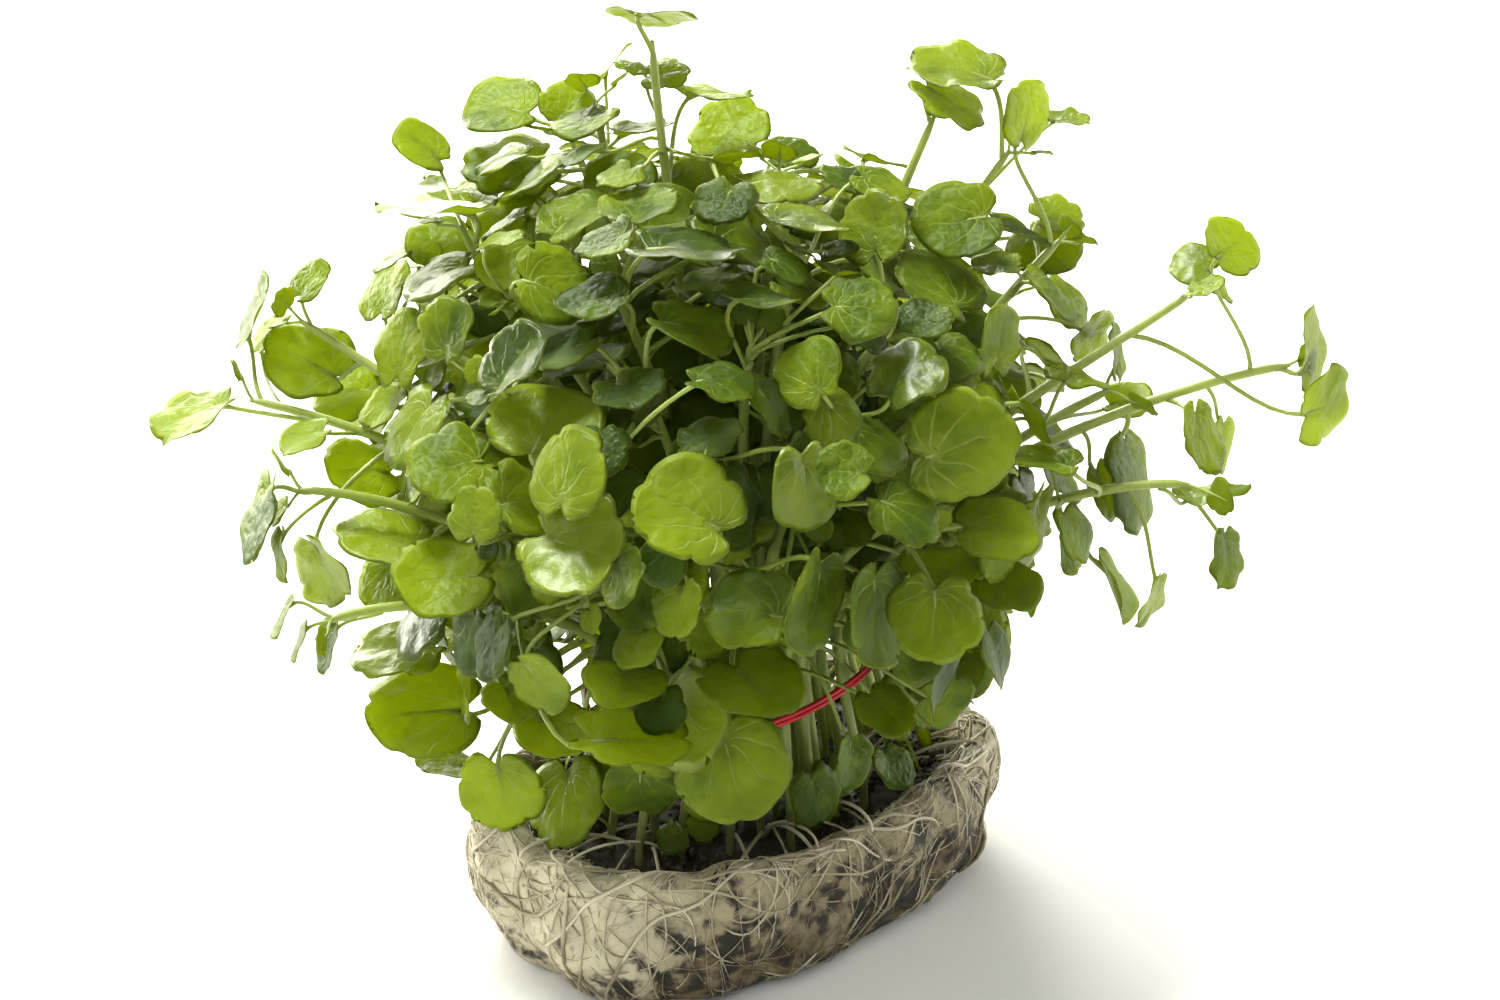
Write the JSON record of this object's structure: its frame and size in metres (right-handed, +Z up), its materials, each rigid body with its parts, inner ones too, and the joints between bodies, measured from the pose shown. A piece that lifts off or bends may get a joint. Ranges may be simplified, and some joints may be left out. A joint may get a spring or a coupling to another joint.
{
  "type": "watercress bunch",
  "caption": "Living bunch of watercress: a dome of round green leaves on pale stems, held by a red elastic band above a flat-bottomed block of matted roots.",
  "frame": {"origin": "middle of the root mat's flat underside, on the surface that the bunch stands on", "axes": "+Z up along the stems, X along the root mat's long side"},
  "size_m": [0.1983, 0.1591, 0.1854],
  "materials": {
    "root_mat": "matted pale roots and dark growing medium, matt and moist",
    "greens": "thin leaf with a soft waxy gloss, translucent against the light",
    "band": "smooth, semi-matt"
  },
  "bodies": {
    "root": {"root_mat": "root_mat", "elastic_band": "band", "leafy_stem_01": "greens", "leafy_stem_02": "greens", "leafy_stem_03": "greens", "leafy_stem_04": "greens", "leafy_stem_05": "greens", "leafy_stem_06": "greens", "leafy_stem_07": "greens", "leafy_stem_08": "greens", "leafy_stem_09": "greens", "leafy_stem_10": "greens", "leafy_stem_11": "greens", "leafy_stem_12": "greens", "leafy_stem_13": "greens", "leafy_stem_14": "greens", "leafy_stem_15": "greens", "leafy_stem_16": "greens", "leafy_stem_17": "greens", "leafy_stem_18": "greens", "leafy_stem_19": "greens", "leafy_stem_20": "greens", "leafy_stem_21": "greens", "leafy_stem_22": "greens", "leafy_stem_23": "greens", "leafy_stem_24": "greens", "leafy_stem_25": "greens", "leafy_stem_26": "greens", "leafy_stem_27": "greens", "leafy_stem_28": "greens", "leafy_stem_29": "greens", "leafy_stem_30": "greens", "leafy_stem_31": "greens", "leafy_stem_32": "greens", "leafy_stem_33": "greens", "leafy_stem_34": "greens", "leafy_stem_35": "greens", "leafy_stem_36": "greens", "leafy_stem_37": "greens", "leafy_stem_38": "greens", "leafy_stem_39": "greens", "leafy_stem_40": "greens", "leafy_stem_41": "greens", "leafy_stem_42": "greens", "leafy_stem_43": "greens", "leafy_stem_44": "greens", "leafy_stem_45": "greens", "leafy_stem_46": "greens", "leafy_stem_47": "greens", "leafy_stem_48": "greens", "leafy_stem_49": "greens", "leafy_stem_50": "greens", "leafy_stem_51": "greens", "leafy_stem_52": "greens", "leafy_stem_53": "greens", "leafy_stem_54": "greens"}
  },
  "joints": []
}
